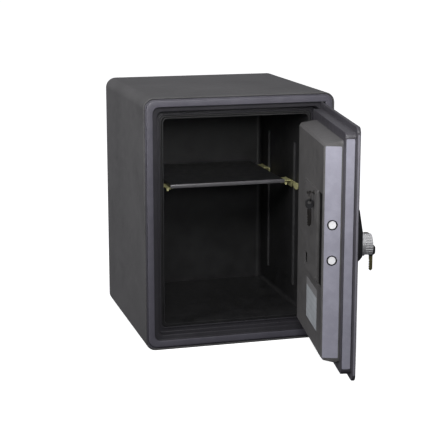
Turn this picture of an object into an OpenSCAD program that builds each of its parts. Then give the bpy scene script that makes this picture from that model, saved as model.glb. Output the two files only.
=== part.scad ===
// Upright fire safe with one shelf, door standing open.
// Origin at the centre of the base, +Z up, front face toward -Y, hinge on the +X side.
// Depths called n are measured behind the front face; heights are z; insets run inward from the shell.

/* [Cabinet] */
// Width of the cabinet
body_w = 402; // [396:1:420]
// Height of the cabinet
body_h = 522; // [516:1:540]
// Depth of the cabinet
body_d = 390; // [380:1:410]
// Radius of the long rolled edges of the wrap
edge_r = 22; // [20:0.5:24]
// Thickness of the shell sheet
shell_t = 1.5; // [1.2:0.1:1.6]
// Width of the rolled hem round the front opening
hem_w = 3.2; // [3:0.1:3.4]

/* [Front frame] */
// Inset of the front band
band_in = 6.2; // [6:0.1:6.6]
// Inset of the first recess, which takes the door flange
rec1_in = 19.4; // [19:0.1:19.6]
// Inset of the second recess, which takes the door step
rec2_in = 29.2; // [28.6:0.1:29.4]
// Inset where the seal channel starts
chan_in = 40; // [39.5:0.1:40.2]
// Inset of the inner liner opening
liner_in = 46.5; // [46:0.1:46.8]
// Depth of the first ledge
rec1_n = 7.5; // [7.4:0.1:8]
// Depth of the second ledge
rec2_n = 28.5; // [28.2:0.1:29]
// Depth of the liner's back wall
liner_n = 352; // [345:1:354]

/* [Door] */
// Angle at which the door stands open
open_angle = 80.5; // [0:1:100]
// Inset of the door flange
flange_in = 21.2; // [21:0.1:21.4]
// Thickness of the door flange
flange_t = 7; // [6.8:0.1:7]
// Inset of the middle step
step_in = 32; // [31.6:0.1:33]
// Depth where the step ends and the plug starts
step_n = 26; // [25.6:0.1:26.6]
// Inset of the plug at its base
plug_in0 = 49.2; // [49:0.1:50]
// Inset of the plug at its inner face
plug_in1 = 56.4; // [55:0.1:57]
// Depth of the plug's inner face
plug_n = 60; // [59.5:0.1:61]
// Hinge side of the plug from the centre line
plug_hx = 128; // [124:1:134]
// Hinge side of the step from the centre line
step_hx = 160; // [150:1:160]

/* [Lock] */
// Diameter of the locking bolts
bolt_d = 14.5; // [14:0.5:15.5]
// Travel of the locking bolts
bolt_travel = 16; // [10:1:18]
// Height of the upper bolt
bolt_z1 = 315.6; // [313:0.2:317]
// Height of the lower bolt
bolt_z0 = 248.4; // [247:0.2:250]
// Knob diameter
knob_d = 44; // [40:1:45]
// Horizontal place of the knob
knob_x = -98; // [-99:0.5:-97]
// Horizontal place of the key lock
key_x = -52; // [-54:0.5:-50]
// Height of the knob and the key lock
lock_z = 266; // [265:0.5:267]

/* [Interior] */
// Half width of the shelf
shelf_hx = 125; // [123:0.5:128]
// Depth of the shelf's front edge
shelf_n0 = 90; // [88:1:92]
// Height of the top of the shelf
shelf_z = 327.6; // [327:0.2:328.2]
// Thickness of the shelf's folded edge
shelf_t = 7.6; // [7:0.2:8]

/* [Hidden] */
$fn = 64;
hw = body_w/2;
H = body_h;
fy = -body_d/2;
e = 0.02;
pv_r = flange_t/2;
pv_x = hw - flange_in - pv_r;
pv_n = pv_r;
pin_r = 2;
pin_c = 0.06;
plug_lx = -hw + plug_in1;
cover_x0 = plug_lx + 50;
cover_x1 = plug_lx + 187;
cover_z0 = 193;
cover_z1 = 370;
cover_n = plug_n + 1.5;
bolt_n = 43;
bolt_tip = -hw + (plug_in0 + plug_in1)/2 + 0.4;
bar_x1 = knob_x - 10;
bar_x0 = bar_x1 - 6;
crank = 8;
key_n = 51;
ring_r = 7.6;
ring_w = 0.8;
spare_x = plug_lx + 84;
spare_z = 360.4;
spare_n = cover_n + 8.2;

// ---- helpers -------------------------------------------------------------
// rectangle with its left and right corners rounded by rl and rr
module rrect(x0, x1, z0, z1, rl, rr) {
    translate([x0 + rl, z0]) square([x1 - x0 - rl - rr, z1 - z0]);
    if (rl > 0) {
        translate([x0, z0 + rl]) square([rl + e, z1 - z0 - 2*rl]);
        for (z = [z0 + rl, z1 - rl]) translate([x0 + rl, z]) circle(r = rl);
    }
    if (rr > 0) {
        translate([x1 - rr - e, z0 + rr]) square([rr + e, z1 - z0 - 2*rr]);
        for (z = [z0 + rr, z1 - rr]) translate([x1 - rr, z]) circle(r = rr);
    }
}
// extrude an x-z outline from depth n0 to depth n1
module deep(n0, n1) {
    translate([0, fy + n1, 0]) rotate([90, 0, 0]) linear_extrude(height = n1 - n0) children();
}
// outline at a given inset from the shell's outside, corner radius r
module outline(i, r, rb = -1) { rrect(-hw + i, hw - i, i, H - i, r, rb < 0 ? r : rb); }
// ring between two insets, from depth n0 to n1
module ring(i0, i1, n0, n1, r0, r1, r0b = -1, r1b = -1) {
    deep(n0, n1) difference() { outline(i0, r0, r0b); outline(i1, r1, r1b); }
}
module plate(x0, x1, z0, z1, n0, n1) {
    translate([x0, fy + n0, z0]) cube([x1 - x0, n1 - n0, z1 - z0]);
}
// round bar along the depth
module rod_n(x, z, r, n0, n1) {
    translate([x, fy + n1, z]) rotate([90, 0, 0]) cylinder(r = r, h = n1 - n0);
}
// round bar along x
module rod_x(n, z, r, x0, x1) {
    translate([x0, fy + n, z]) rotate([0, 90, 0]) cylinder(r = r, h = x1 - x0);
}
module rod_z(x, n, r, z0, z1) {
    translate([x, fy + n, z0]) cylinder(r = r, h = z1 - z0);
}
// swings the closed door's pieces to where the door stands
module on_door() {
    translate([pv_x, fy + pv_n, 0]) rotate([0, 0, open_angle])
        translate([-pv_x, -fy - pv_n, 0]) children();
}
// tapered plug outline grown inward by g, from depth n0 to n1
module plug_form(g, n0, n1, rf, rc) {
    s = (plug_in1 - plug_in0)/(plug_n - step_n);
    i0 = plug_in0 + s*(n0 - step_n) + g;
    i1 = plug_in0 + s*(n1 - step_n) + g;
    intersection() {
        // plan view: taper on the lock side, rounded edges at the inner face
        linear_extrude(height = H) union() {
            polygon([[-hw + i0, fy + n0], [plug_hx - g + (i0 - i0), fy + n0],
                [plug_hx - g, fy + n1 - rf], [plug_hx - g - rf, fy + n1],
                [-hw + i1 + rf, fy + n1], [-hw + i1 - s*rf, fy + n1 - rf]]);
        }
        // side view: taper at top and bottom
        translate([-hw, 0, 0]) rotate([90, 0, 90]) linear_extrude(height = 2*hw)
            polygon([[fy + n0, i0], [fy + n1 - rf, i1 - s*rf], [fy + n1, i1 + rf],
                [fy + n1, H - i1 - rf], [fy + n1 - rf, H - i1 + s*rf], [fy + n0, H - i0]]);
        // front view: rounded corners
        deep(n0, n1) rrect(-hw + i0, plug_hx - g, i0, H - i0, rc, rc);
    }
}
// torus standing in the x-z plane
module ring_xz(x, n, z, r, w) {
    translate([x, fy + n, z]) rotate([90, 0, 0])
        rotate_extrude() translate([r, 0]) circle(r = w, $fn = 24);
}
// moulded key head in the n-z plane: centre n, top z, width a, height b, thickness t, oval hole
module key_head(x, n, ztop, a, b, t, hole_top) {
    translate([x - t/2, fy + n, ztop - b/2]) rotate([90, 0, 90]) linear_extrude(height = t)
        difference() {
            union() {
                rr2(a, b, a*0.36);
                translate([-a*0.22, -b/2 - 2]) square([a*0.44, 4]);
            }
            translate([0, b/2 - hole_top - 3.2]) rr2(a*0.5, 6.4, 3.1);
        }
}
module rr2(a, b, r) {
    square([a - 2*r, b], center = true);
    square([a, b - 2*r], center = true);
    for (i = [-1, 1], j = [-1, 1]) translate([i*(a/2 - r), j*(b/2 - r)]) circle(r = r);
}
// flat key blade hanging down from z1 to z0 with bit notches
module blade_z(x, n, w, z0, z1, t) {
    translate([x - t/2, fy + n, 0]) rotate([90, 0, 90]) linear_extrude(height = t)
        difference() {
            polygon([[-w/2, z1], [w/2, z1], [w/2, z0 + w*0.4], [w*0.1, z0], [-w*0.1, z0],
                [-w/2, z0 + w*0.4]]);
            for (k = [0:3]) translate([w/2, z0 + 5 + k*5]) polygon([[-1.6, 0], [0.1, -1.7], [0.1, 1.7]]);
        }
}

// ---- cabinet -------------------------------------------------------------
module outer_shell() {
    color([0.2, 0.2, 0.21]) union() {
        ring(0, hem_w, 0, 9, edge_r, edge_r - hem_w);
        ring(0, shell_t, 9, body_d - 1.5, edge_r, edge_r - shell_t);
    }
}
module back_panel() {
    color([0.19, 0.19, 0.2]) deep(body_d - 1.5, body_d) outline(0, edge_r);
}
module front_frame() {
    color([0.33, 0.31, 0.35]) difference() {
        union() {
            ring(band_in, rec1_in, 0, 2, 19.5, 13, 19.5, 1.5);
            ring(band_in, band_in + 2, 2, 6, 19.5, 17.5);
            ring(hem_w, band_in + 2, 6, 8, edge_r - hem_w, 17.5);
            ring(rec1_in - 2, rec1_in, 2, rec1_n, 14, 13, 3, 1.5);
            ring(rec1_in - 2, rec2_in, rec1_n, rec1_n + 2, 14, 12, 3, 12);
            ring(rec2_in - 2, rec2_in, rec1_n + 2, rec2_n, 13.5, 12);
            ring(rec2_in - 2, chan_in, rec2_n, rec2_n + 2, 13.5, 10);
            ring(chan_in - 3.2, chan_in, rec2_n - 1.2, rec2_n, 11.4, 10);
            ring(chan_in - 2, chan_in, rec2_n + 2, rec2_n + 4.5, 11, 10);
            ring(chan_in - 2, liner_in - 1.2, rec2_n + 4.5, rec2_n + 6, 11, 10);
            // thick corners that carry the hinge pins
            for (z = [band_in + 1.5, H - rec1_in])
                plate(pv_x - 9, pv_x + 7, z, z + rec1_in - band_in - 1.5, 0.5, rec1_n + 1);
        }
        rod_z(pv_x, pv_n, pin_r + pin_c, H - rec1_in - 1, H - band_in - 4);
        rod_z(pv_x, pv_n, pin_r + pin_c, band_in + 4, rec1_in + 1);
    }
}
module fire_insulation() {
    color([0.72, 0.7, 0.66]) difference() {
        union() {
            ring(3.6, rec2_in - 2.3, 10, 38, 18.4, 14);
            ring(shell_t + 0.2, liner_in - 1.4, 38, liner_n + 1.4, edge_r - shell_t - 0.2, 10);
            deep(liner_n + 1.4, body_d - 1.7) outline(shell_t + 0.2, edge_r - shell_t - 0.2);
        }
        plate(-hw + 18, -hw + liner_in, bolt_z0 - 19, bolt_z1 + 19, bolt_n - 16, bolt_n + 16);
    }
}
module liner_form(g, n0) {
    intersection() {
        linear_extrude(height = H) difference() {
            translate([-hw + liner_in - g, fy + n0]) square([2*(hw - liner_in + g), liner_n + g - n0]);
            for (s = [-1, 1]) translate([s*(hw - liner_in + g), fy + liner_n + g])
                difference() {
                    square([2*(11 + g), 2*(11 + g)], center = true);
                    translate([-s*(11 + g), -(11 + g)]) circle(r = 11 + g);
                    translate([-s*(11 + g)*2, -(11 + g)*1]) square([2*(11 + g), 4*(11 + g)], center = true);
                    translate([-s*(11 + g)*1, -(11 + g)*2]) square([4*(11 + g), 2*(11 + g)], center = true);
                }
        }
        deep(n0, liner_n + g) outline(liner_in - g, 9 + g);
    }
}
module inner_liner() {
    color([0.1, 0.1, 0.105]) difference() {
        union() {
            liner_form(1.2, rec2_n - 1);
            ring(chan_in + 4.3, liner_in - 1, rec2_n - 1, rec2_n + 4.5, 10, 9.5);
        }
        liner_form(0, rec2_n - 2);
        for (z = [bolt_z0, bolt_z1])
            rod_x(bolt_n, z, bolt_d/2 + 1.2, -hw + liner_in - 3, -hw + liner_in + 1);
    }
}
module fire_seal() {
    color([0.03, 0.03, 0.03])
        ring(chan_in + 0.1, chan_in + 4.2, rec2_n + 0.3, rec2_n + 4.4, 9.9, 10.1);
}
module bolt_keeper() {
    color([0.55, 0.56, 0.58]) difference() {
        plate(-hw + 20, -hw + liner_in - 1.2, bolt_z0 - 17, bolt_z1 + 17, rec2_n + 6.1, bolt_n + 13);
        for (z = [bolt_z0, bolt_z1])
            rod_x(bolt_n, z, bolt_d/2 + 0.5, -hw + 24, -hw + liner_in);
    }
}
module hinge_washers() {
    color([0.6, 0.6, 0.62]) for (z = [rec1_in + 0.1, H - rec1_in - 1.5])
        translate([pv_x, fy + pv_n, z]) difference() {
            cylinder(r = 3.3, h = 1.4);
            translate([0, 0, -1]) cylinder(r = pin_r + pin_c, h = 4);
        }
}
module shelf_rails() {
    // slotted strips with a folded front edge
    color([0.22, 0.22, 0.23]) for (s = [-1, 1], n = [106, 283]) mirror([s < 0 ? 1 : 0, 0, 0]) {
        xw = hw - liner_in;
        difference() {
            translate([xw - 4, fy + n, 88]) cube([4, 14, 314]);
            translate([xw - 5, fy + n + 1.5, 87]) cube([3.5, 14, 316]);
            for (k = [0:8]) translate([xw - 2, fy + n + 5, 108.2 + k*34.3]) cube([4, 5, 9]);
        }
    }
}
module shelf_clips() {
    zt = shelf_z - shelf_t - 0.1;
    xw = hw - liner_in;
    color([0.72, 0.62, 0.3]) for (s = [-1, 1]) mirror([s < 0 ? 1 : 0, 0, 0]) {
        // front pair: tapered side bracket in two lobes, a ledge under the shelf and a hook in the rail
        translate([xw - 6.2, 0, 0]) rotate([90, 0, 90]) linear_extrude(height = 1.6)
            polygon([[fy + 72, zt], [fy + 72, zt - 11], [fy + 76, zt - 14], [fy + 92, zt - 14],
                [fy + 103, zt - 8], [fy + 104, zt - 3.5], [fy + 109, zt - 3.5], [fy + 110, zt - 8],
                [fy + 114, zt - 14], [fy + 132, zt - 14], [fy + 158, zt - 5], [fy + 158, zt]]);
        plate(shelf_hx - 7, xw - 5, zt - 1.6, zt, 116, 150);
        plate(shelf_hx - 7, shelf_hx + 7, zt - 1.6, zt, 94, 117);
        plate(shelf_hx + 3, shelf_hx + 7, zt - 5.5, zt, 94, 95.6);
        plate(xw - 5, xw - 0.4, zt - 5.2, zt - 0.6, 111.4, 115.6);
        // rear pair
        translate([xw - 6.2, 0, 0]) rotate([90, 0, 90]) linear_extrude(height = 1.6)
            polygon([[fy + 268, zt], [fy + 268, zt - 14], [fy + 300, zt - 14],
                [fy + 326, zt - 5], [fy + 326, zt]]);
        plate(shelf_hx - 7, xw - 5, zt - 1.6, zt, 276, 320);
        plate(xw - 5, xw - 0.4, zt - 5.2, zt - 0.6, 288.4, 292.6);
    }
}
module shelf() {
    color([0.3, 0.3, 0.31]) difference() {
        deep(shelf_n0, 336) rrect(-shelf_hx, shelf_hx, shelf_z - shelf_t, shelf_z, 2.6, 2.6);
        plate(-shelf_hx + 2, shelf_hx - 2, shelf_z - shelf_t - 1, shelf_z - 1.2, shelf_n0 + 14, 334.5);
    }
}

// ---- door ----------------------------------------------------------------
module door_skin() {
    color([0.3, 0.3, 0.33]) on_door() difference() {
        intersection() {
            translate([0, 0, flange_in]) linear_extrude(height = H - 2*flange_in) {
                translate([-hw + flange_in, fy]) square([pv_x + hw - flange_in, flange_t]);
                translate([pv_x, fy + pv_n]) circle(r = pv_r);
            }
            deep(-1, flange_t + 1) rrect(-hw + flange_in, hw, flange_in, H - flange_in, 12, 0);
        }
        plate(-hw + flange_in + 8, step_hx, flange_in + 8, H - flange_in - 8, 1.5, flange_t + 1);
        for (z = [flange_in - 1, H - flange_in - 16]) rod_z(pv_x, pv_n, pin_r, z, z + 17);
        rod_n(knob_x, lock_z, 5, -1, 3);
        rod_n(key_x, lock_z, 12, -1, 3);
    }
}
module door_step() {
    color([0.36, 0.35, 0.4]) on_door() difference() {
        deep(flange_t, step_n) rrect(-hw + step_in, step_hx, step_in, H - step_in, 10, 4);
        deep(flange_t - 1, step_n - 2) rrect(-hw + step_in + 2, step_hx - 2, step_in + 2, H - step_in - 2, 8, 2);
        plate(-hw + plug_in0 + 4, plug_hx - 4, plug_in0 + 4, H - plug_in0 - 4, step_n - 3, step_n + 1);
    }
}
module door_plug() {
    color([0.3, 0.3, 0.33]) on_door() difference() {
        plug_form(0, step_n, plug_n, 4.2, 8);
        difference() {
            plug_form(2, step_n - 0.5, plug_n - 2, 3.4, 7);
            // solid land behind the sunk strip
            plate(plug_lx - 3, cover_x0 + 3, cover_z0 - 5, cover_z1 + 4, plug_n - 5.2, plug_n);
        }
        // sunk strip beside the lock cover
        plate(plug_lx + 10.5, cover_x0 - 0.2, cover_z0 - 2, cover_z1 + 1, plug_n - 3.4, plug_n + 1);
        // opening behind the lock cover
        plate(cover_x0 + 8, cover_x1 - 40, cover_z0 + 12, cover_z1 - 20, plug_n - 3, plug_n + 1);
        plate(cover_x1 - 36, cover_x1 - 13, 204, 226, plug_n - 3, plug_n + 1);
        for (z = [bolt_z0, bolt_z1])
            rod_x(bolt_n, z, bolt_d/2 + 2.4, -hw + plug_in0 - 4, -hw + plug_in1 + 3);
        for (p = screw_xz()) rod_n(p[0], p[1], 1.6, plug_n - 3, plug_n + 1);
    }
}
module door_insulation() {
    color([0.72, 0.7, 0.66]) on_door() difference() {
        union() {
            deep(7.2, step_n - 2.3) rrect(-hw + 34.5, step_hx - 2.5, 34.5, H - 34.5, 8, 2);
            deep(1.8, 7.2) rrect(-hw + 34.5, step_hx - 2.5, 34.5, H - 34.5, 8, 2);
            deep(step_n - 2.3, plug_n - 6.4) rrect(-hw + 60.5, plug_hx - 6, 60.5, H - 60.5, 7, 7);
        }
        plate(-hw + 50, cover_x1 - 11, 202, 350, 33, plug_n);
        rod_n(knob_x, lock_z, 5.5, 0, 40);
        rod_n(key_x, lock_z, 12.5, 0, 40);
    }
}
module hinge_pins() {
    color([0.7, 0.7, 0.72]) on_door() {
        rod_z(pv_x, pv_n, pin_r, band_in + 4.5, flange_in + 15.5);
        rod_z(pv_x, pv_n, pin_r, H - flange_in - 15.5, H - band_in - 4.5);
    }
}
module lock_case() {
    // base plate with two bearing blocks for the bolts and a bush for the spindle
    color([0.62, 0.63, 0.65]) on_door() difference() {
        union() {
            plate(-hw + 59, -20, 222, 334, 33.2, 35);
            for (z = [bolt_z0, bolt_z1]) plate(-hw + 59, -hw + 70, z - 11, z + 11, 34.5, 54.5);
            rod_n(knob_x, lock_z, 8, 34.5, 41);
            rod_n(key_x, lock_z, 15, 34.5, 39);
        }
        for (z = [bolt_z0, bolt_z1]) rod_x(bolt_n, z, bolt_d/2 + 0.05, -hw + 50, -hw + 75);
        rod_n(knob_x, lock_z, 4.05, 30, 50);
        rod_n(key_x, lock_z, 12, 30, 50);
    }
}
module lock_cover() {
    color([0.3, 0.3, 0.32]) on_door() difference() {
        deep(plug_n, cover_n) rrect(cover_x0, cover_x1, cover_z0, cover_z1, 3, 3);
        plate(cover_x1 - 36, cover_x1 - 13, 204, 226, plug_n - 1, cover_n + 1);
        rod_n(spare_x, spare_z, 2, plug_n - 1, cover_n + 1);
        for (p = screw_xz()) rod_n(p[0], p[1], 1.6, plug_n - 1, cover_n + 1);
    }
}
function screw_xz() = [[cover_x0 + 7, cover_z0 + 7], [cover_x0 + 7, cover_z1 - 7],
    [cover_x1 - 12, cover_z0 + 7 - 1], [cover_x1 - 12, cover_z1 - 7]];
module cover_screws() {
    color([0.2, 0.2, 0.2]) on_door() for (p = screw_xz()) difference() {
        union() {
            rod_n(p[0], p[1], 1.55, plug_n - 2.5, cover_n + 0.2);
            rod_n(p[0], p[1], 2.6, cover_n, cover_n + 0.9);
        }
        plate(p[0] - 1.9, p[0] + 1.9, p[1] - 0.4, p[1] + 0.4, cover_n + 0.3, cover_n + 2);
        plate(p[0] - 0.4, p[0] + 0.4, p[1] - 1.9, p[1] + 1.9, cover_n + 0.3, cover_n + 2);
    }
}
module label_plate() {
    color([0.55, 0.55, 0.56]) on_door()
        plate(plug_lx + 50, plug_lx + 158, 97, 177, plug_n, plug_n + 0.4);
}
module key_hook() {
    color([0.4, 0.4, 0.42]) on_door() {
        rod_n(spare_x, spare_z, 1.5, plug_n + 0.1, spare_n + 4);
        rod_n(spare_x, spare_z, 2.6, spare_n + 4, spare_n + 6);
        difference() {
            rod_n(spare_x, spare_z, 4, cover_n, cover_n + 1.2);
            rod_n(spare_x, spare_z, 1.5, cover_n - 1, cover_n + 2);
        }
    }
}
module escutcheon() {
    ex0 = -135; ex1 = -25;
    color([0.07, 0.07, 0.075]) on_door() difference() {
        intersection() {
            // side view: sloping top, flat face, chamfered foot
            translate([ex0, 0, 0]) rotate([90, 0, 90]) linear_extrude(height = ex1 - ex0)
                polygon([[fy, 240], [fy, 344], [fy - 7, 344], [fy - 10.6, 340], [fy - 17.4, 298],
                    [fy - 17.4, 251], [fy - 10, 240]]);
            deep(-20, 1) rrect(ex0, ex1, 240, 344, 9, 9);
        }
        rod_n(knob_x, lock_z, 5, -30, 3);
        rod_n(key_x, lock_z, 12, -30, 3);
    }
}
module lock_housing() {
    // fixed outer body of the key lock
    color([0.6, 0.6, 0.62]) on_door() difference() {
        union() {
            rod_n(key_x, lock_z, 11.9, -18.4, 42);
            rod_n(key_x, lock_z, 14, -20, -17.5);
        }
        rod_n(key_x, lock_z, 7.55, -22, 50);
    }
}
module knob() {
    color([0.8, 0.8, 0.82]) on_door() difference() {
        union() {
            rod_n(knob_x, lock_z, knob_d/2 - 3, -21, -17.8);
            rod_n(knob_x, lock_z, knob_d/2, -27, -21);
            rod_n(knob_x, lock_z, knob_d/2 - 2, -42, -27);
        }
        // grip flutes
        for (a = [0:15:345]) translate([knob_x + (knob_d/2 - 1.2)*cos(a), fy - 28, lock_z + (knob_d/2 - 1.2)*sin(a)])
            rotate([90, 0, 0]) cylinder(r = 1.7, h = 15, $fn = 24);
        rod_n(knob_x, lock_z, knob_d/2 - 8, -43, -40.5);
        rod_n(knob_x, lock_z, 4.02, -32, -14);
    }
}
module knob_spindle() {
    // spindle with a crank arm and its pin
    color([0.65, 0.65, 0.67]) on_door() {
        rod_n(knob_x, lock_z, 4, -32, 47.6);
        deep(47.6, 50.6) union() {
            translate([knob_x, lock_z]) circle(r = 6.5);
            translate([knob_x + crank, lock_z + crank]) circle(r = 4.5);
            translate([knob_x, lock_z]) rotate(45) translate([0, -4]) square([11.31, 8]);
        }
        rod_n(knob_x + crank, lock_z + crank, 3, 50.6, 54.8);
    }
}
module bolt_carrier() {
    color([0.5, 0.5, 0.52]) on_door() difference() {
        union() {
            plate(bar_x0, bar_x1, 232, 327, 38, 54.4);
            plate(bar_x1 - 1, knob_x + crank + 8, lock_z + 1, lock_z + 19, 51.6, 54.4);
        }
        // upright slot for the crank pin
        plate(knob_x + crank - 3.6, knob_x + crank + 3.6, lock_z + crank - 3.6, lock_z + crank*1.4143 + 3.6, 51, 56);
    }
}
module locking_bolts() {
    color([0.85, 0.85, 0.87]) on_door() for (z = [bolt_z0, bolt_z1]) {
        rod_x(bolt_n, z, bolt_d/2, bolt_tip, bar_x0);
    }
}
module key_cylinder() {
    // turning core of the key lock with its cam behind
    color([0.75, 0.68, 0.45]) on_door() difference() {
        union() {
            rod_n(key_x, lock_z, 7.5, -19.6, 46);
            plate(key_x - 6, key_x + 6, lock_z - 26, lock_z + 6, 46, 49);
        }
        plate(key_x - 1.15, key_x + 1.15, lock_z - 4.2, lock_z + 4.2, -21, 12);
    }
}
module door_key() {
    color([0.78, 0.77, 0.7]) on_door() {
        difference() {
            union() {
                // round bow
                translate([key_x - 1, fy - 41, lock_z]) rotate([90, 0, 90]) cylinder(r = 13, h = 2);
                plate(key_x - 1, key_x + 1, lock_z - 4, lock_z + 4, -32, 11);
            }
            translate([key_x - 2, fy - key_n, lock_z]) rotate([90, 0, 90]) cylinder(r = 3.2, h = 4, $fn = 48);
            for (k = [0:4]) translate([key_x - 2, fy - 8 + k*4, lock_z + 4.4]) rotate([45, 0, 0])
                translate([0, -1, -1]) cube([4, 2, 2]);
        }
    }
}
// keys hanging on the bow of the key in the lock
kr_z = lock_z - 1.5;
module key_ring() {
    color([0.75, 0.75, 0.76]) on_door()
        ring_xz(key_x, -key_n, kr_z - ring_r, ring_r, ring_w);
}
kh_top = kr_z - 2*ring_r + ring_w + 0.5 + 2.8;
module hanging_key_head() {
    color([0.05, 0.05, 0.05]) on_door()
        key_head(key_x, -key_n - 1.3, kh_top, 17, 20, 4, 2.8);
}
module hanging_key_blade() {
    color([0.6, 0.52, 0.3]) on_door()
        blade_z(key_x, -key_n - 1.3, 7.4, kh_top - 20 - 31, kh_top - 20 - 2, 2);
}
// spare keys on the inside of the door
sp_r = 10;
sp_rz = spare_z - 7.4;
sp_top = sp_rz - sp_r + ring_w + 0.5 + 2.8;
module spare_key_ring() {
    color([0.4, 0.4, 0.42]) on_door() ring_xz(spare_x, spare_n, sp_rz, sp_r, ring_w + 0.1);
}
module spare_key_head() {
    color([0.05, 0.05, 0.05]) on_door() key_head(spare_x, spare_n + 0.8, sp_top, 15.6, 17, 4, 2.8);
}
module spare_key_blade() {
    color([0.3, 0.28, 0.22]) on_door() blade_z(spare_x, spare_n + 0.8, 8, sp_top - 17 - 35, sp_top - 17 - 2, 2);
}

outer_shell();
back_panel();
front_frame();
fire_insulation();
inner_liner();
fire_seal();
shelf_rails();
shelf_clips();
bolt_keeper();
hinge_washers();
shelf();
door_skin();
door_step();
door_plug();
door_insulation();
hinge_pins();
lock_case();
lock_cover();
cover_screws();
label_plate();
key_hook();
escutcheon();
lock_housing();
knob();
knob_spindle();
bolt_carrier();
locking_bolts();
key_cylinder();
door_key();
key_ring();
hanging_key_head();
hanging_key_blade();
spare_key_ring();
spare_key_head();
spare_key_blade();
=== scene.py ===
import bpy, bmesh, math
from mathutils import Vector, Matrix


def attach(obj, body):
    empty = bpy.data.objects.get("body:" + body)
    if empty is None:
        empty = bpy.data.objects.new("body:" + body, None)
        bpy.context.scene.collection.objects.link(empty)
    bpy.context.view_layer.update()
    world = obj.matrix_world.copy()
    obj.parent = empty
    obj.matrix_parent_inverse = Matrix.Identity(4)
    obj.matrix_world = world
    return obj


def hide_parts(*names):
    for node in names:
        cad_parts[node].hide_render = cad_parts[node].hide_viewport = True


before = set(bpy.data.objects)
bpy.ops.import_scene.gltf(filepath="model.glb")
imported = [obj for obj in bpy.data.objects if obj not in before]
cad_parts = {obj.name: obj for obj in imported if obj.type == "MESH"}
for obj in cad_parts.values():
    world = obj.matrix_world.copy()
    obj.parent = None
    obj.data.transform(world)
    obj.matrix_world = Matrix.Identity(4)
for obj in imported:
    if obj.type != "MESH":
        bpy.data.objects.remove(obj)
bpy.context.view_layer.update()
scene = bpy.context.scene
scene.view_settings.view_transform = "Standard"
scene.view_settings.look = "None"

# ------------------------------------------------------------------ sizes (mm, as in the CAD)
W, H, D = 402.0, 522.0, 390.0
hw, fy = W / 2, -D / 2
PVX, PVN = hw - 21.2 - 3.5, 3.5
A = math.radians(80.5)
EDGE = 22.0


def P(x, n, z):
    return Vector((x, fy + n, z)) / 1000.0


def PD(x, n, z):
    """closed-door coordinates to where the door stands"""
    dx, dy = x - PVX, n - PVN
    return Vector((PVX + dx * math.cos(A) - dy * math.sin(A),
                   fy + PVN + dx * math.sin(A) + dy * math.cos(A), z)) / 1000.0


# ------------------------------------------------------------------ camera
cam_d = bpy.data.cameras.new("cam")
cam_d.sensor_width = 36.0
cam_d.lens = 1305.09 / 430.0 * 36.0
cam_d.clip_end = 100
cam = bpy.data.objects.new("cam", cam_d)
scene.collection.objects.link(cam)
cam.location = (-0.7508, -2.5069 + fy / 1000.0, 0.8395)
cam.rotation_euler = (math.pi / 2 - 0.21244, 0, -0.27113)
scene.camera = cam


# ------------------------------------------------------------------ materials
def mat(name):
    m = bpy.data.materials.new(name)
    m.use_nodes = True
    nt = m.node_tree
    b = nt.nodes["Principled BSDF"]
    return m, nt, b


def N(nt, kind, **kw):
    n = nt.nodes.new(kind)
    for k, v in kw.items():
        setattr(n, k, v)
    return n


def coords(nt, scale=(1, 1, 1), rot=(0, 0, 0)):
    tc = N(nt, "ShaderNodeTexCoord")
    mp = N(nt, "ShaderNodeMapping")
    mp.inputs["Scale"].default_value = scale
    mp.inputs["Rotation"].default_value = rot
    nt.links.new(tc.outputs["Object"], mp.inputs["Vector"])
    return mp.outputs["Vector"]


def noise(nt, vec, scale, detail=3.0, rough=0.55):
    n = N(nt, "ShaderNodeTexNoise")
    n.inputs["Scale"].default_value = scale
    n.inputs["Detail"].default_value = detail
    n.inputs["Roughness"].default_value = rough
    nt.links.new(vec, n.inputs["Vector"])
    return n.outputs["Fac"]


def ramp(nt, fac, stops):
    r = N(nt, "ShaderNodeValToRGB")
    cr = r.color_ramp
    while len(cr.elements) < len(stops):
        cr.elements.new(0.5)
    for e, (p, c) in zip(cr.elements, stops):
        e.position = p
        e.color = (c[0], c[1], c[2], 1) if hasattr(c, "__len__") else (c, c, c, 1)
    nt.links.new(fac, r.inputs["Fac"])
    return r.outputs["Color"]


def mixc(nt, fac, a, b, mode="MIX"):
    m = N(nt, "ShaderNodeMix", data_type="RGBA", blend_type=mode)
    if hasattr(fac, "default_value") or hasattr(fac, "is_linked"):
        nt.links.new(fac, m.inputs[0])
    else:
        m.inputs[0].default_value = fac
    for sock, v in ((m.inputs[6], a), (m.inputs[7], b)):
        if hasattr(v, "is_linked"):
            nt.links.new(v, sock)
        else:
            sock.default_value = (v[0], v[1], v[2], 1)
    return m.outputs[2]


def mathn(nt, op, a, b=None, clamp=False):
    m = N(nt, "ShaderNodeMath", operation=op, use_clamp=clamp)
    for sock, v in ((m.inputs[0], a), (m.inputs[1], b)):
        if v is None:
            continue
        if hasattr(v, "is_linked"):
            nt.links.new(v, sock)
        else:
            sock.default_value = v
    return m.outputs[0]


def bump(nt, b, h, dist, strength=1.0, prev=None):
    bp = N(nt, "ShaderNodeBump")
    bp.inputs["Distance"].default_value = dist
    bp.inputs["Strength"].default_value = strength
    nt.links.new(h, bp.inputs["Height"])
    if prev is not None:
        nt.links.new(prev, bp.inputs["Normal"])
    nt.links.new(bp.outputs["Normal"], b.inputs["Normal"])
    return bp.outputs["Normal"]


def edge_rub_and_sheen_mask(nt, lo=0.52, hi=0.60):
    """lighter edges from the surface's own pointiness: rubbed wear, and a painted highlight where the amount is
    large
    """
    g = N(nt, "ShaderNodeNewGeometry")
    return ramp(nt, g.outputs["Pointiness"], [(lo, 0.0), (hi, 1.0)])


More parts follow.
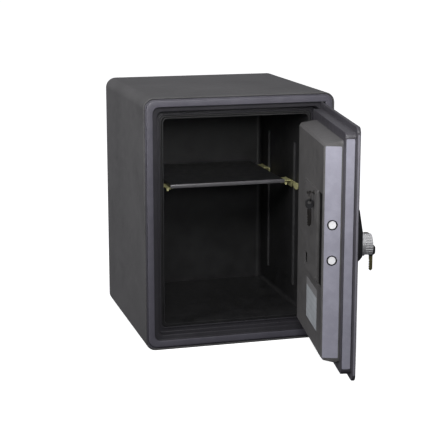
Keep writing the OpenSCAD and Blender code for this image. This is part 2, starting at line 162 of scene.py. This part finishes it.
def paint(name, col, rough, grain=900.0, depth=0.00012, var=0.16, coat=0.0, light=None, spec=0.5, rub_and_highlight=0.25):
    """textured powder coat or satin paint: two scales of orange peel, cloudy tone, lighter edges that are partly
    rubbed wear and partly a painted highlight
    """
    m, nt, b = mat(name)
    v = coords(nt)
    big = noise(nt, v, 9.0, 2.0)
    mid = noise(nt, v, 60.0, 4.0)
    fine = noise(nt, v, grain, 2.0, 0.6)
    speck = noise(nt, v, grain * 2.1, 1.0)
    light = light or tuple(min(1, c * 1.45) for c in col)
    dark = tuple(c * (1 - var) for c in col)
    c1 = ramp(nt, big, [(0.32, dark), (0.68, tuple(c * (1 + var) for c in col))])
    c2 = mixc(nt, ramp(nt, mid, [(0.42, 0.0), (0.75, 0.35)]), c1, light)
    c3 = mixc(nt, ramp(nt, speck, [(0.56, 0.0), (0.72, 0.5)]), c2, light)
    # lighter pointy edges: rubbed wear, and a painted highlight along the edges
    w = mathn(nt, "MULTIPLY", edge_rub_and_sheen_mask(nt), mathn(nt, "MULTIPLY", mid, rub_and_highlight * 2))
    c4 = mixc(nt, w, c3, tuple(min(1, c * 2.2 + 0.02) for c in col))
    nt.links.new(c4, b.inputs["Base Color"])
    r = ramp(nt, mid, [(0.3, rough - 0.05), (0.7, rough + 0.06)])
    nt.links.new(r, b.inputs["Roughness"])
    h = mathn(nt, "ADD", mathn(nt, "MULTIPLY", fine, 0.75), mathn(nt, "MULTIPLY", speck, 0.25))
    bump(nt, b, h, depth, 0.7)
    b.inputs["Specular IOR Level"].default_value = spec
    if coat:
        b.inputs["Coat Weight"].default_value = coat
        b.inputs["Coat Roughness"].default_value = 0.25
    return m


def metal(name, col, rough, brush=(1, 1, 1), bscale=400.0, var=0.12, depth=0.00003):
    m, nt, b = mat(name)
    v = coords(nt, scale=brush)
    s = noise(nt, v, bscale, 4.0)
    v2 = coords(nt)
    blot = noise(nt, v2, 45.0, 3.0)
    c = mixc(nt, ramp(nt, s, [(0.35, 0.0), (0.7, 1.0)]), tuple(x * (1 - var) for x in col), tuple(min(1, x * (1 + var)) for x in col))
    c = mixc(nt, ramp(nt, blot, [(0.5, 0.0), (0.8, 0.35)]), c, tuple(x * 0.6 for x in col))
    nt.links.new(c, b.inputs["Base Color"])
    b.inputs["Metallic"].default_value = 1.0
    r = ramp(nt, s, [(0.3, max(0.02, rough - 0.06)), (0.75, rough + 0.08)])
    nt.links.new(r, b.inputs["Roughness"])
    bump(nt, b, s, depth, 0.5)
    return m


def plastic(name, col, rough, grain=1400.0, depth=0.00006, var=0.2, spec=0.5):
    m, nt, b = mat(name)
    v = coords(nt)
    f = noise(nt, v, grain, 2.0)
    c = noise(nt, v, 30.0, 3.0)
    cc = mixc(nt, ramp(nt, c, [(0.35, 0.0), (0.7, 1.0)]), tuple(x * (1 - var) for x in col), tuple(x * (1 + var) + 0.002 for x in col))
    nt.links.new(cc, b.inputs["Base Color"])
    nt.links.new(ramp(nt, c, [(0.3, rough - 0.05), (0.7, rough + 0.07)]), b.inputs["Roughness"])
    bump(nt, b, f, depth, 0.6)
    b.inputs["Specular IOR Level"].default_value = spec
    return m


M_shell = paint("shell_paint", (0.060, 0.059, 0.060), 0.55, grain=1100, depth=0.00022, spec=0.35)
M_back = paint("back_paint", (0.055, 0.054, 0.056), 0.58, grain=1100, depth=0.00022, spec=0.35)
M_frame = paint("frame_paint", (0.072, 0.069, 0.085), 0.42, grain=1300, depth=0.0001, var=0.08)
# darker copy of frame_paint: painted shade for the stepped rebate; its strong edge lightening is a painted
# highlight on the ledge edges
M_shaded_rebate_copy = paint("rebate_shade_paint", (0.026, 0.0248, 0.029), 0.34, grain=1300, depth=0.00008, var=0.1, rub_and_highlight=1.2)
M_door = paint("door_paint", (0.034, 0.032, 0.038), 0.40, grain=1300, depth=0.0001, var=0.1)
# strip and flange-strip paints are lighter copies of the dark door paint: painted light for the lock-side faces
M_painted_light_strip = paint("lock_side_painted_light", (0.262, 0.258, 0.308), 0.42, grain=1300, depth=0.00008, var=0.05, rub_and_highlight=0.1)
M_painted_light_flange = paint("flange_side_painted_light", (0.155, 0.150, 0.172), 0.42, grain=1300, depth=0.00008, var=0.06, rub_and_highlight=0.1)
M_plug = paint("plug_paint", (0.058, 0.056, 0.056), 0.46, grain=1200, depth=0.00012, var=0.12, spec=0.4)
M_liner = plastic("liner_plastic", (0.0165, 0.0163, 0.017), 0.42, depth=0.0001)
M_seal = plastic("seal_rubber", (0.006, 0.006, 0.0065), 0.6, grain=900)
M_fill = plastic("fill", (0.55, 0.53, 0.49), 0.9, grain=300, depth=0.0006)
M_zinc = metal("zinc_steel", (0.62, 0.62, 0.64), 0.3)
M_rail = paint("rail_steel", (0.030, 0.030, 0.031), 0.42, grain=1300, depth=0.00008)
# much lighter than shelf_paint: painted highlight for the shelf's rolled front edge
M_painted_highlight_edge = paint("shelf_edge_highlight_paint", (0.085, 0.083, 0.088), 0.36, grain=1300, depth=0.0001, rub_and_highlight=0.4)
M_shelf = paint("shelf_paint", (0.012, 0.012, 0.013), 0.36, grain=1300, depth=0.0001)
M_brass = metal("brass", (0.62, 0.60, 0.30), 0.42)
M_brass.node_tree.nodes["Principled BSDF"].inputs["Metallic"].default_value = 0.35
M_chrome = metal("chrome", (0.80, 0.80, 0.80), 0.30, var=0.06)
M_chrome.node_tree.nodes["Principled BSDF"].inputs["Metallic"].default_value = 0.75
M_bolt = metal("bolt_steel", (0.97, 0.97, 0.98), 0.5, var=0.02)
M_bolt.node_tree.nodes["Principled BSDF"].inputs["Metallic"].default_value = 0.15
M_black = plastic("black_plastic", (0.012, 0.012, 0.013), 0.33)
M_cover = paint("cover_plastic", (0.058, 0.056, 0.056), 0.46, grain=1500, depth=0.00012, spec=0.4)
M_key = metal("key_nickel", (0.60, 0.59, 0.53), 0.26, var=0.15)
M_keybrass = metal("key_brass", (0.30, 0.275, 0.13), 0.35, var=0.35)
M_spare = metal("spare_steel", (0.045, 0.042, 0.040), 0.45)
# near-black, nearly matt material: painted shade for gaps, holes and recesses
M_painted_shade_black = plastic("black_painted_shade", (0.004, 0.004, 0.004), 0.9, spec=0.08)


def label_mat():
    m, nt, b = mat("label_paper")
    tc = N(nt, "ShaderNodeTexCoord")
    sp = N(nt, "ShaderNodeSeparateXYZ")
    nt.links.new(tc.outputs["Object"], sp.inputs[0])
    z = sp.outputs["Z"]
    head = mathn(nt, "GREATER_THAN", z, 0.162)
    fib = noise(nt, coords(nt), 500.0, 4.0)
    soft = noise(nt, coords(nt), 22.0, 2.0)
    # blank rows: faint ruled fields with no letters
    wv = N(nt, "ShaderNodeTexWave", wave_type="BANDS", bands_direction="Z")
    wv.inputs["Scale"].default_value = 26.0
    nt.links.new(tc.outputs["Object"], wv.inputs["Vector"])
    rows = ramp(nt, wv.outputs["Fac"], [(0.90, 0.0), (0.97, 0.35)])
    base = mixc(nt, ramp(nt, soft, [(0.3, 0.0), (0.7, 1.0)]), (0.28, 0.298, 0.315), (0.35, 0.37, 0.39))
    base = mixc(nt, rows, base, (0.19, 0.20, 0.215))
    base = mixc(nt, head, base, (0.15, 0.147, 0.15))
    base = mixc(nt, ramp(nt, fib, [(0.4, 0.0), (0.8, 0.3)]), base, (0.32, 0.33, 0.34))
    nt.links.new(base, b.inputs["Base Color"])
    b.inputs["Roughness"].default_value = 0.55
    bump(nt, b, fib, 0.00003, 0.4)
    return m


M_label = label_mat()

assign = dict(
    outer_shell=M_shell, back_panel=M_back, front_frame=M_frame, fire_insulation=M_fill, inner_liner=M_liner,
    fire_seal=M_seal, shelf_rails=M_rail, shelf_clips=M_brass, bolt_keeper=M_zinc, hinge_washers=M_rail,
    shelf=M_shelf, door_skin=M_door, door_step=M_door, door_plug=M_plug, door_insulation=M_fill, hinge_pins=M_spare,
    lock_case=M_zinc, lock_cover=M_cover, cover_screws=M_cover, label_plate=M_label, key_hook=M_spare,
    escutcheon=M_black, lock_housing=M_chrome, knob=M_chrome, knob_spindle=M_zinc, bolt_carrier=M_zinc,
    locking_bolts=M_bolt, key_cylinder=M_brass, door_key=M_key, key_ring=M_chrome, hanging_key_head=M_black,
    hanging_key_blade=M_keybrass, spare_key_ring=M_spare, spare_key_head=M_black, spare_key_blade=M_spare)
for n, m in assign.items():
    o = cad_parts[n]
    o.data.materials.clear()
    o.data.materials.append(m)


def soften(node, width, segs=3, angle=35):
    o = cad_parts[node]
    bv = o.modifiers.new("round", "BEVEL")
    bv.width = width / 1000.0
    bv.segments = segs
    bv.limit_method = "ANGLE"
    bv.angle_limit = math.radians(angle)
    bv.harden_normals = False
    wn = o.modifiers.new("wn", "WEIGHTED_NORMAL")
    wn.keep_sharp = True


# ------------------------------------------------------------------ lofted pieces
def rr(x0, x1, z0, z1, r, n, k=8, rr_=None):
    """rounded rectangle loop at depth n; r on the -x corners, rr_ on the +x corners"""
    rr_ = r if rr_ is None else rr_
    pts = []
    for cx, cz, a0, q in ((x1 - rr_, z1 - rr_, 0, rr_), (x0 + r, z1 - r, 90, r), (x0 + r, z0 + r, 180, r), (x1 - rr_, z0 + rr_, 270, rr_)):
        for i in range(k + 1):
            a = math.radians(a0 + 90 * i / k)
            pts.append((cx + q * math.cos(a), n, cz + q * math.sin(a)))
    return pts


def inset(i, r, n, k=8, rb=None):
    return rr(-hw + i, hw - i, i, H - i, r, n, k, rb)


def loft(name, loops, m, body, tr=P, closed=False, cap0=False, cap1=False, sharp=40, flip=False):
    bm = bmesh.new()
    rows = [[bm.verts.new(tr(*p)) for p in lp] for lp in loops]
    cnt = len(rows[0])
    pairs = list(zip(rows[:-1], rows[1:])) + ([(rows[-1], rows[0])] if closed else [])
    for a, b in pairs:
        for i in range(cnt):
            j = (i + 1) % cnt
            bm.faces.new((a[i], a[j], b[j], b[i]))
    if cap0:
        bm.faces.new(list(reversed(rows[0])))
    if cap1:
        bm.faces.new(rows[-1])
    bmesh.ops.remove_doubles(bm, verts=bm.verts, dist=1e-7)
    bmesh.ops.recalc_face_normals(bm, faces=bm.faces)
    me = bpy.data.meshes.new(name)
    bm.to_mesh(me)
    bm.free()
    for p in me.polygons:
        p.use_smooth = True
    me.set_sharp_from_angle(angle=math.radians(sharp))
    me.materials.append(m)
    o = bpy.data.objects.new(name, me)
    scene.collection.objects.link(o)
    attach(o, body)
    return o


def fillet(pts, radii, segs=4):
    """round the corners of a closed 2D outline [(inset, n)], one radius each"""
    out = []
    L = len(pts)
    for i, (p, r) in enumerate(zip(pts, radii)):
        p = Vector(p)
        a = Vector(pts[i - 1]) - p
        b = Vector(pts[(i + 1) % L]) - p
        if r <= 0:
            out.append(tuple(p))
            continue
        a.normalize()
        b.normalize()
        ang = a.angle(b)
        d = r / math.tan(ang / 2)
        c = p + (a + b).normalized() * (r / math.sin(ang / 2))
        s, t = p + a * d, p + b * d
        a0 = math.atan2(*(s - c).yx)
        a1 = math.atan2(*(t - c).yx)
        da = (a1 - a0 + math.pi) % (2 * math.pi) - math.pi
        for k in range(segs + 1):
            q = a0 + da * k / segs
            out.append((c.x + r * math.cos(q), c.y + r * math.sin(q)))
    return out


def rad_at(i, table):
    """corner radius of the front ring at inset i"""
    for (i0, r0), (i1, r1) in zip(table[:-1], table[1:]):
        if i <= i1:
            return r0 + (r1 - r0) * max(0, (i - i0)) / (i1 - i0)
    return table[-1][1]


# rolled steel wrap
prof = fillet([(0, 0), (0, D - 1.5), (1.5, D - 1.5), (1.5, 9), (3.2, 9), (3.2, 0)],
              [1.55, 0, 0, 0, 0, 1.55], 5)
shell = loft("shell_wrap", [inset(i, EDGE - i, n, 12) for i, n in prof], M_shell, "cabinet", closed=True)
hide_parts("outer_shell")

prof = [(0.0, D - 1.5), (0.0, D - 0.9), (0.25, D - 0.3), (0.9, D)]
back = loft("back_plate", [inset(i, EDGE - i, n, 12) for i, n in prof], M_back, "cabinet", cap0=True, cap1=True)
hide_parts("back_panel")

# stepped front frame
FR = [(3.2, 18.8), (6.2, 19.5), (8.2, 17.5), (17.4, 14), (19.4, 13), (27.2, 13.5), (29.2, 12), (36.8, 11.4), (40, 10), (45.3, 10)]
FB = [(3.2, 18.8), (6.2, 19.5), (8.2, 17.5), (19.3, 1.6), (20.6, 1.6), (27.2, 12), (29.2, 12), (36.8, 11.4), (40, 10), (45.3, 10)]
fp = [(6.2, 4), (6.2, 0), (19.4, 0), (19.4, 7.5), (29.2, 7.5), (29.2, 28.5), (36.8, 28.5), (36.8, 27.3), (40, 27.3),
      (40, 33), (45.3, 33), (45.3, 34.5), (27.2, 34.5), (27.2, 9.5), (8.2, 9.5), (8.2, 6), (3.2, 6), (3.2, 4)]
fr = [0.6, 1.6, 1.5, 1.2, 1.5, 1.6, 0.4, 0.5, 0.9, 0, 0, 0, 0, 0, 0, 0, 0, 0]
prof = fillet(fp, fr, 4)
ffr = loft("front_frame_ring", [inset(i, rad_at(i, FR), n, 10, rad_at(i, FB)) for i, n in prof], M_frame, "cabinet", closed=True)
ffr.data.materials.append(M_shaded_rebate_copy)
for f in ffr.data.polygons:                        # the stepped rebate gets the darker copy of the frame paint: painted shade in the recess
    n_c = f.center.y * 1000 - fy
    inward = min(hw - abs(f.center.x * 1000), f.center.z * 1000, H - f.center.z * 1000)
    if n_c > 2.0 and inward > 17.5:
        f.material_index = 1
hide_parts("front_frame")

# rubber seal with a soft crown
prof = [(40.15, 32.8), (40.15, 29.6), (40.6, 29.0), (41.4, 28.75), (42.8, 28.75), (43.6, 29.0), (44.15, 29.6), (44.15, 32.8)]
seal = loft("seal_strip", [inset(i, 10.0, n, 10) for i, n in prof], M_seal, "cabinet", closed=True)
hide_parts("fire_seal")

# door flange: lock side, top and bottom softly rolled, hinge side full round
T = 7.0
loops = []
for n in (0.0, 0.15, 0.5, 1.0, 1.8, 2.6, 3.5, 4.6, 5.6, 6.3, 6.7, 6.9, 7.0):
    rf, rb = 1.8, 1.4
    e = 0.0
    if n < rf:
        e = rf - math.sqrt(max(0, rf * rf - (rf - n) ** 2))
    if n > T - rb:
        e = rb - math.sqrt(max(0, rb * rb - (n - T + rb) ** 2))
    xh = PVX + math.sqrt(max(0, 3.5 ** 2 - (n - 3.5) ** 2))
    loops.append(rr(-hw + 21.2 + e, xh, 21.2 + e, H - 21.2 - e, 12 - e, n, 8, 0.05))
flange = loft("door_flange", loops, M_door, "door", PD, cap0=True, cap1=True)
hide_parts("door_skin")

# middle step
loops = []
for n, e in ((7.0, 0.0), (24.0, 0.0), (24.7, 0.13), (25.3, 0.45), (25.8, 1.1), (26.0, 2.0)):
    loops.append(rr(-hw + 32 + e, 160 - e, 32 + e, H - 32 - e, 10 - e, n, 8, 4 - e * 0.9))
step = loft("door_step_ring", loops, M_door, "door", PD, cap0=True, cap1=True)
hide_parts("door_step")

for nd, w in dict(shelf=2.2, knob=0.5, escutcheon=2.2, lock_cover=0.5, door_key=0.4, hanging_key_head=0.9,
                  hanging_key_blade=0.3, spare_key_head=0.9, spare_key_blade=0.3, shelf_clips=0.4, shelf_rails=0.4,
                  door_plug=1.2, lock_housing=0.5, inner_liner=0.5, locking_bolts=0.8).items():
    soften(nd, w)


# lock-side edge strips: thin plates in a much lighter copy of the door paint, painted light on the lock-side faces
# that face the front lamps
def edge_strip(name, x_at, n0, n1, z0, z1, proud, m, r=2.0, k=6, holes=()):
    """a thin plate on the lock-side face, carrying painted light; x_at(n) is that face, holes are (n, z, radius)"""
    outer = []
    for cn, cz, a0 in ((n1 - r, z1 - r, 0), (n0 + r, z1 - r, 90), (n0 + r, z0 + r, 180), (n1 - r, z0 + r, 270)):
        for i in range(k + 1):
            a = math.radians(a0 + 90 * i / k)
            outer.append((cn + r * math.cos(a), cz + r * math.sin(a)))
    rings = [[(hn + q * math.cos(2 * math.pi * i / 40), hz + q * math.sin(2 * math.pi * i / 40)) for i in range(40)]
             for hn, hz, q in holes]
    bm = bmesh.new()

    def lay(off):
        out = []
        for lp in [outer] + rings:
            vs = [bm.verts.new(PD(x_at(n) - off, n, z)) for n, z in lp]
            es = [bm.edges.new((vs[i], vs[(i + 1) % len(vs)])) for i in range(len(vs))]
            out.append((vs, es))
        return out
    top, bot = lay(proud), lay(-0.05)
    for lay_ in (top, bot):
        bmesh.ops.triangle_fill(bm, use_beauty=True, edges=[e for _, es in lay_ for e in es])
    for (va, _), (vb, _) in zip(top, bot):
        c = len(va)
        for i in range(c):
            bm.faces.new((va[i], va[(i + 1) % c], vb[(i + 1) % c], vb[i]))
    bmesh.ops.recalc_face_normals(bm, faces=bm.faces)
    me = bpy.data.meshes.new(name)
    bm.to_mesh(me)
    bm.free()
    me.materials.append(m)
    o = bpy.data.objects.new(name, me)
    scene.collection.objects.link(o)
    bv = o.modifiers.new("round", "BEVEL")
    bv.width = 0.00035
    bv.segments = 2
    bv.limit_method = "ANGLE"
    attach(o, "door")
    return o


SL = (56.4 - 49.2) / 34.0
BOLTS = [(43.0, 248.4), (43.0, 315.6)]
edge_strip("plug_edge_strip", lambda n: -hw + 49.2 + SL * (n - 26), 28.6, 57.6, 60, 462, 0.45, M_painted_light_strip,
           holes=[(n, z, 9.65) for n, z in BOLTS])
edge_strip("step_edge_strip", lambda n: -hw + 32.0, 8.6, 24.2, 44, 478, 0.4, M_painted_light_strip)
edge_strip("flange_edge_strip", lambda n: -hw + 21.2, 1.7, 5.4, 34, 487, 0.25, M_painted_light_flange, r=1.2)

# near-black sheet on the floor of the sunk grip strip: painted shade in the recess
gx0, gx1, gz0, gz1 = -134.0, -95.0, 191.2, 370.8
loops = [rr(gx0 + 0.3, gx1 - 0.3, gz0 + 0.3, gz1 - 0.3, 1.0, 56.3, 4), rr(gx0 + 0.3, gx1 - 0.3, gz0 + 0.3, gz1 - 0.3, 1.0, 56.75, 4),
         rr(gx0 + 0.6, gx1 - 0.6, gz0 + 0.6, gz1 - 0.6, 1.0, 56.95, 4)]
grip_shade = loft("grip_recess_shade", loops, M_painted_shade_black, "door", PD, cap0=True, cap1=True)

# rolled front edge of the shelf, in a paint much lighter than the black shelf: painted highlight along the front
# edge
bm = bmesh.new()
rows = []
for x, e in ((-125.3, 2.0), (-125.1, 0.6), (-124.2, 0.0), (124.2, 0.0), (125.1, 0.6), (125.3, 2.0)):
    lp = []
    for i in range(20):
        a = 2 * math.pi * i / 20
        lp.append(bm.verts.new(P(x, 90.4 + (1.5 - e * 0.3) * math.cos(a), 323.8 + (4.0 - e) * math.sin(a))))
    rows.append(lp)
for a, b in zip(rows[:-1], rows[1:]):
    for i in range(20):
        bm.faces.new((a[i], a[(i + 1) % 20], b[(i + 1) % 20], b[i]))
bm.faces.new(list(reversed(rows[0])))
bm.faces.new(rows[-1])
bmesh.ops.recalc_face_normals(bm, faces=bm.faces)
me = bpy.data.meshes.new("shelf_front_bead")
bm.to_mesh(me)
bm.free()
for f in me.polygons:
    f.use_smooth = True
me.set_sharp_from_angle(angle=math.radians(50))
me.materials.append(M_painted_highlight_edge)
bead = bpy.data.objects.new("shelf_front_bead", me)
scene.collection.objects.link(bead)
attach(bead, "shelf")

# near-black box lining the pocket behind the opening in the lock cover: painted shade in the opening
px0, px1, pz0, pz1 = 6.5, 29.3, 204.1, 225.9
loops = [rr(px0 + 0.8, px1 - 0.8, pz0 + 0.8, pz1 - 0.8, 0.6, 50.4, 4), rr(px0 + 0.8, px1 - 0.8, pz0 + 0.8, pz1 - 0.8, 0.6, 59.6, 4),
         rr(px0, px1, pz0, pz1, 0.8, 59.6, 4), rr(px0, px1, pz0, pz1, 0.8, 49.8, 4)]
pocket = loft("latch_pocket", loops, M_painted_shade_black, "door", PD, cap0=True, cap1=True)

# near-black rings lining the two bolt holes: painted shade in the gap around the bolts
for q, (bn, bz) in enumerate(BOLTS):
    x_f = -hw + 49.2 + SL * (bn - 26)
    bm = bmesh.new()
    rows = []
    for off, rad in ((-3.0, 9.5), (0.25, 9.5), (0.55, 9.2), (0.6, 8.6), (0.3, 8.1), (-3.0, 8.0)):
        rows.append([bm.verts.new(PD(x_f - off, bn + rad * math.cos(2 * math.pi * i / 48), bz + rad * math.sin(2 * math.pi * i / 48)))
                     for i in range(48)])
    for a, b in zip(rows, rows[1:] + rows[:1]):
        for i in range(48):
            bm.faces.new((a[i], a[(i + 1) % 48], b[(i + 1) % 48], b[i]))
    bmesh.ops.recalc_face_normals(bm, faces=bm.faces)
    me = bpy.data.meshes.new("bolt_hole_shade_%d" % q)
    bm.to_mesh(me)
    bm.free()
    for f in me.polygons:
        f.use_smooth = True
    me.materials.append(M_painted_shade_black)
    o = bpy.data.objects.new("bolt_hole_shade_%d" % q, me)
    scene.collection.objects.link(o)
    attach(o, "door")


# ------------------------------------------------------------------ stage and light
bm = bmesh.new()
for x, y in ((-60, -60), (60, -60), (60, 60), (-60, 60)):
    bm.verts.new((x, y, 0))
bm.faces.new(bm.verts)
me = bpy.data.meshes.new("floor")
bm.to_mesh(me)
bm.free()
floor = bpy.data.objects.new("floor", me)
scene.collection.objects.link(floor)
m, nt, b = mat("floor_white")
b.inputs["Roughness"].default_value = 0.9
b.inputs["Base Color"].default_value = (0.85, 0.85, 0.85, 1)
b.inputs["Emission Color"].default_value = (1, 1, 1, 1)
b.inputs["Emission Strength"].default_value = 0.78
me.materials.append(m)
floor.visible_diffuse = False
floor.visible_glossy = False

# soft dome, brighter overhead than at the horizon
w = bpy.data.worlds.new("world")
scene.world = w
w.use_nodes = True
wn = w.node_tree
bg = wn.nodes["Background"]
tc = N(wn, "ShaderNodeTexCoord")
sp = N(wn, "ShaderNodeSeparateXYZ")
wn.links.new(tc.outputs["Generated"], sp.inputs[0])
up = mathn(wn, "MULTIPLY", mathn(wn, "ADD", sp.outputs["Z"], 1.0), 0.5)
wn.links.new(ramp(wn, up, [(0.0, (0.05, 0.05, 0.055)), (0.46, (0.17, 0.17, 0.182)), (1.0, (0.42, 0.42, 0.44))]), bg.inputs[0])
bg.inputs[1].default_value = 1.0


def area(name, loc, target, size, power, sy=None):
    l = bpy.data.lights.new(name, "AREA")
    l.energy = power
    l.size = size
    if sy:
        l.shape = "RECTANGLE"
        l.size_y = sy
    o = bpy.data.objects.new(name, l)
    scene.collection.objects.link(o)
    o.location = loc
    o.rotation_euler = (Vector(target) - Vector(loc)).to_track_quat("-Z", "Y").to_euler()
    return o


def spot(name, loc, target, angle, power, radius=0.25):
    l = bpy.data.lights.new(name, "SPOT")
    l.energy = power
    l.spot_size = math.radians(angle)
    l.spot_blend = 1.0
    l.shadow_soft_size = radius
    o = bpy.data.objects.new(name, l)
    scene.collection.objects.link(o)
    o.location = loc
    o.rotation_euler = (Vector(target) - Vector(loc)).to_track_quat("-Z", "Y").to_euler()
    return o


area("key", (-0.28, -1.15, 1.02), (0.05, -0.45, 0.98), 0.40, 12)
spot("high", (-0.2, -2.3, 1.1), (0.05, -0.3, 0.76), 22, 110, 0.3)
area("left", (-2.1, -0.75, 1.05), (0.1, -0.35, 0.42), 0.8, 30)
area("top", (0.0, 0.1, 2.4), (0, 0, 0.4), 1.6, 3)
